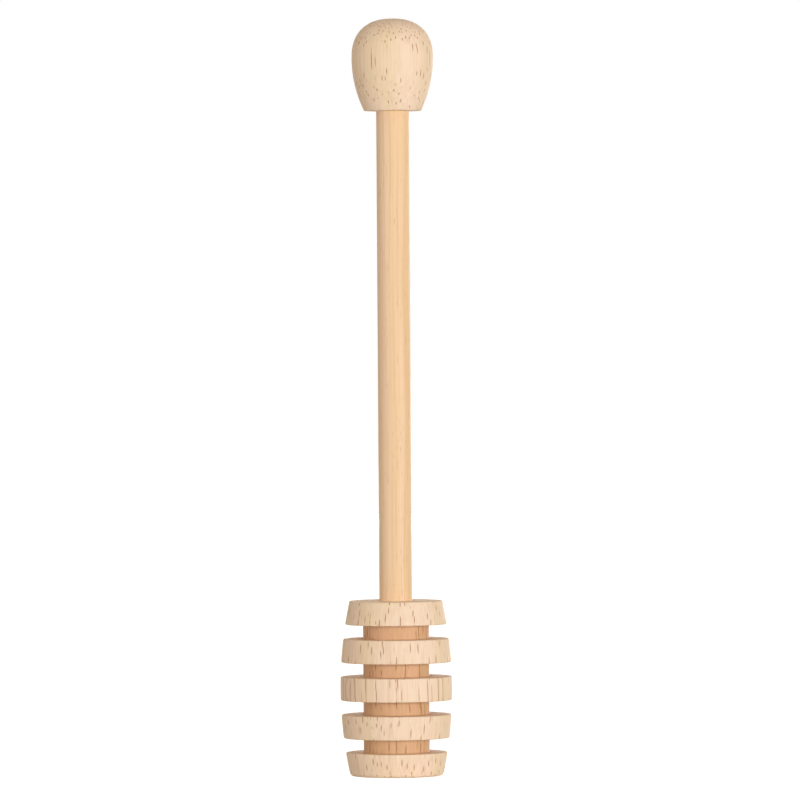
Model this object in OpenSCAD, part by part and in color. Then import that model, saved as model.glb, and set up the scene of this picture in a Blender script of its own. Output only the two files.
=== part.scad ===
// A turned wooden honey dipper: a grooved barrel head, a dowel handle and a round knob.
// It stands on the foot of its head, with its axis along Z and the middle of the foot at the origin.
// The dowel's two ends are glued into blind sockets, one in the head and one in the knob.
// All sizes are in millimetres.

/* [Head] */
// Number of rings left standing between the grooves
ring_count = 5; // [4:1:7]
// Thickness of each ring along the axis
ring_t = 5; // [4:0.1:6.5]
// Width of each groove along the axis
groove_w = 3; // [2:0.1:4]
// Diameter of the barrel at its middle
head_d = 23.7; // [21.5:0.1:30]
// Diameter of the barrel at its two ends
head_end_d = 19.7; // [17.5:0.1:21]
// Diameter of the core at the bottom of the grooves
core_d = 14; // [11:0.1:16]
// Radius that eases the edges of the rings
ring_edge_r = 0.25; // [0.1:0.05:0.6]
// Radius that eases the edge of the foot
foot_edge_r = 0.9; // [0.3:0.1:1.5]
// Radius that the tool leaves in the corners of the grooves
groove_corner_r = 0.2; // [0.1:0.05:0.5]

/* [Handle] */
// Diameter of the dowel
dowel_d = 7; // [5:0.1:8]
// Length of the dowel that shows between the head and the knob
dowel_shown_l = 103.5; // [80:0.5:130]
// Chamfer on both ends of the dowel
dowel_chamfer = 0.6; // [0.2:0.1:1]

/* [Knob] */
// Diameter of the knob where it is widest
knob_d = 17.3; // [15:0.1:22]
// Diameter of the knob's flat base
knob_base_d = 12.1; // [10.5:0.1:14]
// Height of the widest place above the base
knob_waist_h = 11.2; // [9:0.1:13]
// Height of the crown above the widest place
knob_crown_h = 8.3; // [6:0.1:10]
// Fullness of the crown, where 2 is a true ellipse
knob_crown_power = 2.35; // [2:0.05:2.8]
// Radius that eases the edge of the base
knob_edge_r = 0.3; // [0.1:0.05:0.5]

/* [Glued joints] */
// Depth that the dowel goes into the head
head_insert_l = 18; // [12:0.5:22]
// Depth that the dowel goes into the knob
knob_insert_l = 11; // [8:0.5:12]
// Thickness of the glue around the dowel
glue_gap = 0.1; // [0.05:0.01:0.2]
// Spare depth of each socket past the end of the dowel
socket_spare = 0.5; // [0.2:0.1:1]
// Full angle of the drill's point
drill_point_angle = 118; // [90:1:140]

/* [Hidden] */
$fn = 96;
// Straight steps that draw an eased edge, one ring's side, the knob's side and its crown
edge_steps = 5;
ring_side_steps = 4;
knob_side_steps = 16;
knob_crown_steps = 28;
ring_pitch = ring_t + groove_w;
head_h = ring_count * ring_pitch - groove_w;
knob_h = knob_waist_h + knob_crown_h;
knob_z = head_h + dowel_shown_l;
dowel_l = head_insert_l + dowel_shown_l + knob_insert_l;
dowel_z = head_h - head_insert_l;
socket_r = dowel_d / 2 + glue_gap;
drill_point_h = socket_r / tan(drill_point_angle / 2);

// A turned side is one arc, given as [x of its centre, z of its centre, radius].
// It runs through its widest point, and narrows by drop at a distance of span along the axis.
function side_arc(widest_r, widest_z, drop, span) =
    let (r = (pow(span, 2) + pow(drop, 2)) / (2 * drop))
    [widest_r - r, widest_z, r];
// Radius of the turned side at height z
function side_at(side, z) = side[0] + sqrt(pow(side[2], 2) - pow(z - side[1], 2));
// Points round an arc, from one angle to another
function arc(cx, cz, r, from, to, steps) =
    [for (i = [0:steps]) let (a = from + (to - from) * i / steps) [cx + r * cos(a), cz + r * sin(a)]];
// Centre of an easing of radius e that touches the turned side, at height z
function easing_x(side, e, z) = side_at([side[0], side[1], side[2] - e], z);
// Direction in which that easing meets the turned side
function easing_angle(side, e, z) = atan2(z - side[1], easing_x(side, e, z) - side[0]);
function lower_easing(side, e, z) =
    arc(easing_x(side, e, z + e), z + e, e, -90, easing_angle(side, e, z + e), edge_steps);
function upper_easing(side, e, z) =
    arc(easing_x(side, e, z - e), z - e, e, easing_angle(side, e, z - e), 90, edge_steps);

// The barrel narrows alike from its middle to both ends.
barrel = side_arc(head_d / 2, head_h / 2, (head_d - head_end_d) / 2, head_h / 2);
knob_side = side_arc(knob_d / 2, knob_waist_h, (knob_d - knob_base_d) / 2, knob_waist_h);

// Half section of one ring's rim, from its lower face to its upper face
function ring_rim(z, lower_r) =
    let (z0 = z + lower_r, z1 = z + ring_t - ring_edge_r)
    concat(
        lower_easing(barrel, lower_r, z),
        [for (i = [1:ring_side_steps - 1]) let (h = z0 + (z1 - z0) * i / ring_side_steps) [side_at(barrel, h), h]],
        upper_easing(barrel, ring_edge_r, z + ring_t));
// Half section of one groove, from the face under it to the face over it
function groove_floor(z) = concat(
    arc(core_d / 2 + groove_corner_r, z + groove_corner_r, groove_corner_r, 270, 180, edge_steps),
    arc(core_d / 2 + groove_corner_r, z + groove_w - groove_corner_r, groove_corner_r, 180, 90, edge_steps));
function head_outline() = concat(
    [[0, 0]],
    [for (i = [0:ring_count - 1]) each concat(
        ring_rim(i * ring_pitch, i == 0 ? foot_edge_r : ring_edge_r),
        i < ring_count - 1 ? groove_floor(i * ring_pitch + ring_t) : [])],
    [[0, head_h]]);

// Half section of the knob, from its base to the top of its crown
function knob_outline() = concat(
    [[0, 0]],
    lower_easing(knob_side, knob_edge_r, 0),
    [for (i = [1:knob_side_steps]) let (h = knob_edge_r + (knob_waist_h - knob_edge_r) * i / knob_side_steps)
        [side_at(knob_side, h), h]],
    [for (i = [1:knob_crown_steps - 1]) let (a = 90 * i / knob_crown_steps)
        [knob_d / 2 * pow(cos(a), 2 / knob_crown_power),
         knob_waist_h + knob_crown_h * pow(sin(a), 2 / knob_crown_power)]],
    [[0, knob_h]]);

// A drilled blind hole that opens downwards at z = 0 and goes up by depth, with the drill's point past it
module blind_hole(depth) {
    cylinder(r = socket_r, h = depth);
    translate([0, 0, depth]) cylinder(r1 = socket_r, r2 = 0, h = drill_point_h);
}

module head_socket() {
    translate([0, 0, head_h]) rotate([180, 0, 0]) blind_hole(head_insert_l + socket_spare);
}

module knob_socket() {
    translate([0, 0, knob_z]) blind_hole(knob_insert_l + socket_spare);
}

module head() {
    color("burlywood") difference() {
        rotate_extrude() polygon(head_outline());
        head_socket();
    }
}

module handle() {
    dowel_r = dowel_d / 2;
    color("navajowhite") translate([0, 0, dowel_z]) rotate_extrude() polygon([
        [0, 0],
        [dowel_r - dowel_chamfer, 0],
        [dowel_r, dowel_chamfer],
        [dowel_r, dowel_l - dowel_chamfer],
        [dowel_r - dowel_chamfer, dowel_l],
        [0, dowel_l]]);
}

module knob() {
    color("wheat") difference() {
        translate([0, 0, knob_z]) rotate_extrude() polygon(knob_outline());
        knob_socket();
    }
}

// The set glue fills what the dowel leaves free in its sockets.
module head_glue() {
    color("ivory") difference() {
        head_socket();
        handle();
    }
}

module knob_glue() {
    color("ivory") difference() {
        knob_socket();
        handle();
    }
}

head();
handle();
knob();
head_glue();
knob_glue();
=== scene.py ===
import math

import bpy
from mathutils import Euler, Matrix, Vector, noise


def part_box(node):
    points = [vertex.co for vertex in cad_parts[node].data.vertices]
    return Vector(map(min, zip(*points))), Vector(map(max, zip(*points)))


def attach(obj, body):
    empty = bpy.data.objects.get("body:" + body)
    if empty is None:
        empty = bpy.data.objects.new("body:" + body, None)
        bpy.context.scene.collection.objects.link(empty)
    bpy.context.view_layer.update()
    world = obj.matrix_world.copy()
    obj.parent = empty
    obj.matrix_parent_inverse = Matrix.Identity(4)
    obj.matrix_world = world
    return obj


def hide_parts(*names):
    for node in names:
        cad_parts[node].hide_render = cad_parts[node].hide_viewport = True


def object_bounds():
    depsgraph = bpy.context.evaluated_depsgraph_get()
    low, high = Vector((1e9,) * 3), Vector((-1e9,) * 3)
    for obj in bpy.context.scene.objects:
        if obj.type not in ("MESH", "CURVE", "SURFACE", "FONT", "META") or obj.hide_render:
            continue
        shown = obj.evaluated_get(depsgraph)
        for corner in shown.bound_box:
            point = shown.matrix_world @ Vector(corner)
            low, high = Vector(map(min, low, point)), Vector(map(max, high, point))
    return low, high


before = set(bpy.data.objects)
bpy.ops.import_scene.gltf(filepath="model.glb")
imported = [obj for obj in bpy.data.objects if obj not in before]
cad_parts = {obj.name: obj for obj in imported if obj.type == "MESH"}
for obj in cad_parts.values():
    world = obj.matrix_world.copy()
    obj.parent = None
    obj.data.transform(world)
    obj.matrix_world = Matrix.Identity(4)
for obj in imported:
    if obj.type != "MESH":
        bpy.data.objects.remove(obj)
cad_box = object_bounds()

# Head.
# One blank of pale, open-pored hardwood, turned to a barrel with four grooves cut down to a core.
# Its upper end is drilled for the dowel, which is glued in. The wood is sanded and left raw, and
# the edges of the rings are slightly chipped.
MM = 0.001
head_high = Vector(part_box("head")[1]) / MM
handle_low, handle_high = (Vector(corner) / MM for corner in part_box("handle"))
ring_t = 5.0
groove_w = 3.0
core_r = 7.0
head_end_r = 9.85
ring_edge_r = 0.25
foot_edge_r = 0.9
groove_corner_r = 0.2
glue_t = 0.1
socket_spare = 0.5
drill_half_angle = math.radians(59)
head_h = head_high.z
head_r = head_high.x
dowel_r = handle_high.x
ring_pitch = ring_t + groove_w
ring_count = round((head_h + groove_w) / ring_pitch)
socket_r = dowel_r + glue_t
drill_point_h = socket_r / math.tan(drill_half_angle)
edge_steps = 5
ring_side_steps = 8
corner_steps = 4
head_facets = 360
head_oval = 0.003
head_chip_depth = 0.22
chips_per_mm = 1.1
chip_octaves = 4
chip_threshold = 0.12
oval_turn = 0.7
crease_angle = math.radians(35)
raw_gloss = 0.25
cream = (0.88, 0.71, 0.51, 1)
pink_cream = (0.92, 0.73, 0.58, 1)
fibre_tan = (0.72, 0.49, 0.30, 1)
streak_brown = (0.70, 0.43, 0.25, 1)
pore_brown = (0.42, 0.17, 0.06, 1)
# Colour of the painted shade that is multiplied into the wood inside the head's grooves.
painted_groove_shade_colour = (0.78, 0.60, 0.45, 1)
pores_per_mm = 1.3
pore_relief = 0.05
head_place_in_blank = (3.1, 8.7, 0.0)


class Value:
    """A shader socket that takes part in Python expressions. Each operation adds one Math node."""

    def __init__(self, shader, socket):
        self.shader = shader
        self.socket = socket

    def math(self, operation, first, second):
        return self.shader.add("Math", {"operation": operation}, {0: first, 1: second})

    def __add__(self, other):
        return self.math("ADD", self, other)

    def __sub__(self, other):
        return self.math("SUBTRACT", self, other)

    def __rsub__(self, other):
        return self.math("SUBTRACT", other, self)

    def __mul__(self, other):
        return self.math("MULTIPLY", self, other)

    __radd__ = __add__
    __rmul__ = __mul__


class Shader:
    """The nodes of a material or a world, with one method that adds any node to them."""

    def __init__(self, owner):
        owner.use_nodes = True
        self.nodes = owner.node_tree.nodes
        self.links = owner.node_tree.links

    def plug(self, value, socket):
        if isinstance(value, Value):
            self.links.new(value.socket, socket)
        else:
            socket.default_value = value

    def add(self, kind, settings, sockets, output=0):
        made = self.nodes.new("ShaderNode" + kind)
        for name, setting in settings.items():
            setattr(made, name, setting)
        for key, value in sockets.items():
            self.plug(value, made.inputs[key])
        return Value(self, made.outputs[output])

    def mix(self, factor, first, second, blend="MIX"):
        settings = {"data_type": "RGBA", "blend_type": blend}
        return self.add("Mix", settings, {"Factor": factor, 6: first, 7: second}, 2)


class Finish(Shader):
    """The material of one finish."""

    def __init__(self, name, roughness, gloss):
        self.material = bpy.data.materials.new(name)
        super().__init__(self.material)
        self.surface = self.nodes["Principled BSDF"]
        self.surface.inputs["Roughness"].default_value = roughness
        self.surface.inputs["Specular IOR Level"].default_value = gloss

    def vector(self, operation, sockets, output=0):
        return self.add("VectorMath", {"operation": operation}, sockets, output)

    def position(self):
        """The point on the piece, in millimetres"""
        point = self.add("TexCoord", {}, {}, "Object")
        return self.vector("SCALE", {0: point, "Scale": 1 / MM})

    def noise(self, point, scale, detail=2.0):
        stretched = self.vector("MULTIPLY", {0: point, 1: scale})
        return self.add("TexNoise", {}, {"Vector": stretched, "Scale": 1.0, "Detail": detail})

    def swayed(self, point, scale, reach):
        """The point, moved by up to reach millimetres, so that the grain wanders"""
        sway = self.vector("SCALE", {0: self.noise(point, scale), "Scale": reach})
        return self.vector("ADD", {0: point, 1: sway})

    def between(self, value, low, high):
        """0 where the value is at low, and 1 where it is at high"""
        sockets = {"Value": value, "From Min": low, "From Max": high}
        return self.add("MapRange", {"interpolation_type": "SMOOTHSTEP"}, sockets)

    def raised(self, height, depth):
        """Turns a height from 0 to 1 into relief of this depth, in millimetres"""
        normal = self.add("Bump", {}, {"Height": height, "Distance": depth * MM})
        self.plug(normal, self.surface.inputs["Normal"])


def placed(name, data):
    """Adds an object of this name to the scene"""
    made = bpy.data.objects.new(name, data)
    bpy.context.scene.collection.objects.link(made)
    return made


def arc(x, z, radius, start, end, steps, wear=0.0):
    """Points round an arc, in degrees, each with the share of the wear that it takes"""
    angles = [math.radians(start + (end - start) * i / steps) for i in range(steps + 1)]
    return [(x + radius * math.cos(a), z + radius * math.sin(a), wear) for a in angles]


class Side:
    """A turned side: one arc that is widest at one height and narrows by drop at span from it."""

    def __init__(self, widest_r, widest_z, drop, span):
        self.radius = (span ** 2 + drop ** 2) / (2 * drop)
        self.x = widest_r - self.radius
        self.z = widest_z

    def at(self, z, inset=0.0):
        return self.x + math.sqrt((self.radius - inset) ** 2 - (z - self.z) ** 2)

    def easing(self, z, edge_r, upper, steps, wear):
        """The eased edge at the lower or the upper end of a side"""
        z = z - edge_r if upper else z + edge_r
        x = self.at(z, edge_r)
        meets = math.degrees(math.atan2(z - self.z, x - self.x))
        start, end = (meets, 90) if upper else (-90, meets)
        return arc(x, z, edge_r, start, end, steps, wear)


def turned(name, outline, facets, oval, chip_depth):
    """A closed turned body. The outline is half a section, in millimetres, from axis to axis."""
    points = []
    for x, z, wear in outline[1:-1]:
        for i in range(facets):
            a = math.tau * i / facets
            ahead = Vector((math.cos(a), math.sin(a), 0))
            spot = ahead * x + Vector((0, 0, z))
            torn = max(0.0, noise.fractal(spot * chips_per_mm, 1.0, 2.0, chip_octaves) - chip_threshold)
            chip = min(torn * wear * chip_depth, chip_depth)
            narrowed = oval * (1 + math.cos(2 * a + oval_turn)) / 2
            points.append((ahead * (x * (1 - narrowed) - chip) + Vector((0, 0, z))) * MM)
    poles = [Vector((0, 0, outline[0][1])) * MM, Vector((0, 0, outline[-1][1])) * MM]
    rows = len(outline) - 2
    faces = []
    for i in range(facets):
        j = (i + 1) % facets
        faces.append((rows * facets, j, i))
        faces.append((rows * facets + 1, (rows - 1) * facets + i, (rows - 1) * facets + j))
        for row in range(rows - 1):
            low = row * facets
            high = low + facets
            faces.append((low + i, low + j, high + j, high + i))
    mesh = bpy.data.meshes.new(name)
    mesh.from_pydata(points + poles, [], faces)
    mesh.shade_smooth()
    mesh.set_sharp_from_angle(angle=crease_angle)
    return placed(name, mesh)


def head_outline():
    barrel = Side(head_r, head_h / 2, head_r - head_end_r, head_h / 2)
    outline = [(0, 0, 0)]
    for ring in range(ring_count):
        z = ring * ring_pitch
        lower_r = foot_edge_r if ring == 0 else ring_edge_r
        outline += barrel.easing(z, lower_r, False, edge_steps, 1.0)
        for i in range(1, ring_side_steps):
            side_z = z + lower_r + (ring_t - lower_r - ring_edge_r) * i / ring_side_steps
            outline.append((barrel.at(side_z), side_z, 0))
        outline += barrel.easing(z + ring_t, ring_edge_r, True, edge_steps, 1.0)
        if ring < ring_count - 1:
            corner_x = core_r + groove_corner_r
            lower_z = z + ring_t + groove_corner_r
            upper_z = z + ring_pitch - groove_corner_r
            outline += arc(corner_x, lower_z, groove_corner_r, 270, 180, corner_steps)
            outline += arc(corner_x, upper_z, groove_corner_r, 180, 90, corner_steps)
    socket_end = handle_low.z - socket_spare
    outline += [(socket_r, head_h, 0), (socket_r, socket_end, 0), (0, socket_end - drill_point_h, 0)]
    return outline


def turned_wood(name, place_in_blank, grooved):
    """Pale hardwood whose pores run along the axis and open as streaks, dashes or dots. On a grooved
    piece, painted shade darkens the grooves.
    """
    wood = Finish(name, 0.62, raw_gloss)
    place = wood.position()
    point = wood.vector("ADD", {0: place, 1: place_in_blank})
    grain = wood.swayed(point, (0.02, 0.02, 0.11), 1.4)
    bands = wood.between(wood.noise(grain, (0.16, 0.16, 0.006)), 0.36, 0.64)
    colour = wood.mix(bands, cream, pink_cream)
    fibres = wood.between(wood.noise(grain, (2.6, 2.6, 0.06), 5.0), 0.35, 0.7)
    colour = wood.mix(fibres * 0.30, colour, fibre_tan)
    streaks = wood.between(wood.noise(grain, (0.55, 0.55, 0.02), 3.0), 0.58, 0.74)
    colour = wood.mix(streaks * 0.35, colour, streak_brown)
    cells = {"voronoi_dimensions": "2D", "feature": "F1"}
    reach = wood.add("TexVoronoi", cells, {"Vector": grain, "Scale": pores_per_mm}, "Distance")
    own = wood.add("TexVoronoi", cells, {"Vector": grain, "Scale": pores_per_mm}, "Color")
    along = wood.vector("MULTIPLY_ADD", {0: point, 1: (0, 0, 0.16), 2: own})
    along = wood.add("TexNoise", {}, {"Vector": along, "Scale": 1.0, "Detail": 1.0})
    pores = wood.between(reach, 0.21, 0.10) * wood.between(along, 0.42, 0.50)
    colour = wood.mix(pores * 0.72, colour, pore_brown)
    # Painted shade: on a grooved piece, the wood is darkened towards the core and below the top of the
    # head, where the grooves lie in shade.
    if grooved:
        flat = wood.vector("MULTIPLY", {0: place, 1: (1, 1, 0)})
        from_axis = wood.vector("LENGTH", {0: flat}, "Value")
        height = wood.add("SeparateXYZ", {}, {"Vector": place}, "Z")
        painted_groove_shade = wood.between(from_axis, 8.6, core_r) * wood.between(height, head_h - 0.5, head_h - 2)
        colour = wood.mix(painted_groove_shade * 0.85, colour, painted_groove_shade_colour, "MULTIPLY")
    wood.plug(colour, wood.surface.inputs["Base Color"])
    turning = wood.noise(place, (0.05, 0.05, 7.0))
    wood.raised((1 - pores) * 0.7 + fibres * 0.2 + turning * 0.1, pore_relief)
    return wood.material


head = turned("turned_head", head_outline(), head_facets, head_oval, head_chip_depth)
head.data.materials.append(turned_wood("head_wood", head_place_in_blank, True))
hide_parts("head")
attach(head, "root")

# Handle.
# A straight dowel of a finer, yellower wood, cut to length with its ends chamfered.
# Both ends are glued into their sockets, so only the plain stretch between them shows.
dowel_chamfer = 0.6
dowel_steps = 40
dowel_facets = 96
dowel_oval = 0.004
dowel_yellow = (0.86, 0.61, 0.36, 1)
dowel_pink = (0.90, 0.66, 0.46, 1)
line_brown = (0.66, 0.39, 0.18, 1)
fleck_brown = (0.50, 0.27, 0.12, 1)
fleck_relief = 0.03


def dowel_wood():
    """Fine straight grain with thin long streaks and short flecks"""
    wood = Finish("dowel_wood", 0.55, raw_gloss)
    point = wood.vector("ADD", {0: wood.position(), 1: (1.3, 4.2, 0.0)})
    grain = wood.swayed(point, (0.03, 0.03, 0.02), 1.2)
    bands = wood.between(wood.noise(grain, (0.34, 0.34, 0.004)), 0.36, 0.62)
    colour = wood.mix(bands, dowel_yellow, dowel_pink)
    lines = wood.between(wood.noise(grain, (3.4, 3.4, 0.03), 4.0), 0.42, 0.72)
    colour = wood.mix(lines * 0.35, colour, line_brown)
    flecks = wood.between(wood.noise(grain, (5.5, 5.5, 0.32)), 0.64, 0.72)
    colour = wood.mix(flecks * 0.45, colour, fleck_brown)
    wood.plug(colour, wood.surface.inputs["Base Color"])
    wood.raised((1 - flecks) * 0.5 + lines * 0.3, fleck_relief)
    return wood.material


def dowel_outline():
    inner_r = dowel_r - dowel_chamfer
    bottom, top = handle_low.z, handle_high.z
    side_l = top - bottom - 2 * dowel_chamfer
    outline = [(0, bottom, 0), (inner_r, bottom, 0)]
    for i in range(dowel_steps + 1):
        outline.append((dowel_r, bottom + dowel_chamfer + side_l * i / dowel_steps, 0))
    return outline + [(inner_r, top, 0), (0, top, 0)]


handle = turned("dowel_handle", dowel_outline(), dowel_facets, dowel_oval, 0)
handle.data.materials.append(dowel_wood())
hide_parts("handle")
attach(handle, "root")

# Knob.
# Turned from the same pale hardwood as the head, with a flat base and a full, slightly flattened crown.
# It is drilled from below and glued on the dowel's upper end.
knob_low, knob_high = (Vector(corner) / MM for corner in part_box("knob"))
knob_base_r = 6.05
knob_waist_h = 11.2
knob_crown_power = 2.35
knob_edge_r = 0.3
knob_r = knob_high.x
knob_crown_h = knob_high.z - knob_low.z - knob_waist_h
knob_edge_steps = 6
knob_edge_wear = 0.6
knob_side_steps = 24
knob_crown_steps = 48
knob_facets = 240
knob_oval = 0.004
knob_chip_depth = 0.12
knob_place_in_blank = (-21.0, 5.3, 0.0)


def knob_outline():
    base = knob_low.z
    waist = base + knob_waist_h
    side = Side(knob_r, waist, knob_r - knob_base_r, knob_waist_h)
    socket_end = handle_high.z + socket_spare
    outline = [(0, socket_end + drill_point_h, 0), (socket_r, socket_end, 0), (socket_r, base, 0)]
    outline += side.easing(base, knob_edge_r, False, knob_edge_steps, knob_edge_wear)
    for i in range(1, knob_side_steps + 1):
        z = base + knob_edge_r + (knob_waist_h - knob_edge_r) * i / knob_side_steps
        outline.append((side.at(z), z, 0))
    power = 2 / knob_crown_power
    for i in range(1, knob_crown_steps):
        a = math.radians(90 * i / knob_crown_steps)
        outline.append((knob_r * math.cos(a) ** power, waist + knob_crown_h * math.sin(a) ** power, 0))
    return outline + [(0, knob_high.z, 0)]


knob = turned("turned_knob", knob_outline(), knob_facets, knob_oval, knob_chip_depth)
knob.data.materials.append(turned_wood("knob_wood", knob_place_in_blank, False))
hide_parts("knob")
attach(knob, "root")

# Glue.
# Dried wood glue fills the thin gap between the dowel and each socket, out of sight.
# It keeps its solid from the frame, with a warm, slightly cloudy finish.
glue_amber = (0.78, 0.68, 0.45, 1)
glue_pale = (0.85, 0.77, 0.56, 1)


def dried_glue():
    glue = Finish("dried_glue", 0.4, raw_gloss)
    cloud = glue.between(glue.noise(glue.position(), (1.5, 1.5, 1.5)), 0.35, 0.65)
    colour = glue.mix(cloud, glue_amber, glue_pale)
    glue.plug(colour, glue.surface.inputs["Base Color"])
    return glue.material


glue_finish = dried_glue()
for node in ("head_glue", "knob_glue"):
    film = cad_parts[node]
    film.data.materials.clear()
    film.data.materials.append(glue_finish)

# Floor and background.
# A plain floor in front of an even background, both white to the camera.
# The floor glows as the camera sees it, and the air outside that view is a dim warm grey.
floor_half = 3.0
floor_colour = (0.8, 0.8, 0.8, 1)
floor_glow = 0.85
ambient_colour = (0.42, 0.36, 0.28, 1)
pure_white = (1, 1, 1, 1)


def seen_directly(shader):
    """1 where the camera sees a surface, also in a reflection or through glass"""
    names = ("Is Camera Ray", "Is Glossy Ray", "Is Transmission Ray")
    camera_ray, glossy_ray, through_ray = (shader.add("LightPath", {}, {}, name) for name in names)
    sockets = {0: camera_ray + glossy_ray, 1: through_ray}
    return shader.add("Math", {"operation": "ADD", "use_clamp": True}, sockets)


def white_floor():
    white = Finish("white_floor", 0.9, 0.0)
    white.surface.inputs["Base Color"].default_value = floor_colour
    glow = white.add("Emission", {}, {"Color": pure_white, "Strength": seen_directly(white) * floor_glow})
    both = white.add("AddShader", {}, {0: Value(white, white.surface.outputs[0]), 1: glow})
    white.plug(both, white.nodes["Material Output"].inputs["Surface"])
    return white.material


floor_mesh = bpy.data.meshes.new("floor")
corners = [(-1, -1), (1, -1), (1, 1), (-1, 1)]
floor_mesh.from_pydata([(x * floor_half, y * floor_half, 0) for x, y in corners], [], [(0, 1, 2, 3)])
floor = placed("floor", floor_mesh)
floor.data.materials.append(white_floor())

world = bpy.data.worlds.new("studio")
bpy.context.scene.world = world
air = Shader(world)
sky = air.mix(seen_directly(air), ambient_colour, pure_white)
air.plug(sky, air.nodes["Background"].inputs["Color"])

# Light and camera.
# A large soft lamp beside the camera on the right, a weak one on the left and a wide one behind,
# and the long lens of the photograph. All places are in metres.
aim = Vector((0, 0, (cad_box[0][2] + cad_box[1][2]) / 2))
camera_distance = 1.564
camera_height = 0.0997
camera_right = 0.00116
tilt = math.radians(0.743)
roll = math.radians(-0.375)


def soft_lamp(name, place, width, height, power):
    lamp = bpy.data.lights.new(name, "AREA")
    lamp.shape = "RECTANGLE"
    lamp.size = width
    lamp.size_y = height
    lamp.energy = power
    holder = placed(name, lamp)
    holder.location = place
    holder.rotation_euler = (aim - Vector(place)).to_track_quat("-Z", "Y").to_euler()


soft_lamp("key", place=(0.75, -1.6, 0.08), width=1.1, height=0.5, power=30.5)
soft_lamp("fill", place=(-1.5, -0.5, 0.06), width=0.9, height=0.3, power=4.0)
soft_lamp("back", place=(0.5, 1.8, 0.06), width=1.6, height=0.3, power=16.0)

lens = bpy.data.cameras.new("camera")
lens.sensor_width = 36.0
lens.lens = 333.0
lens.clip_start = 0.05
lens.clip_end = 20.0
camera = placed("camera", lens)
camera.location = (camera_right, -camera_distance, camera_height)
turn = Euler((math.pi / 2 - tilt, 0, 0)).to_matrix() @ Matrix.Rotation(roll, 3, "Z")
camera.rotation_euler = turn.to_euler()
bpy.context.scene.camera = camera
bpy.context.scene.view_settings.view_transform = "Standard"
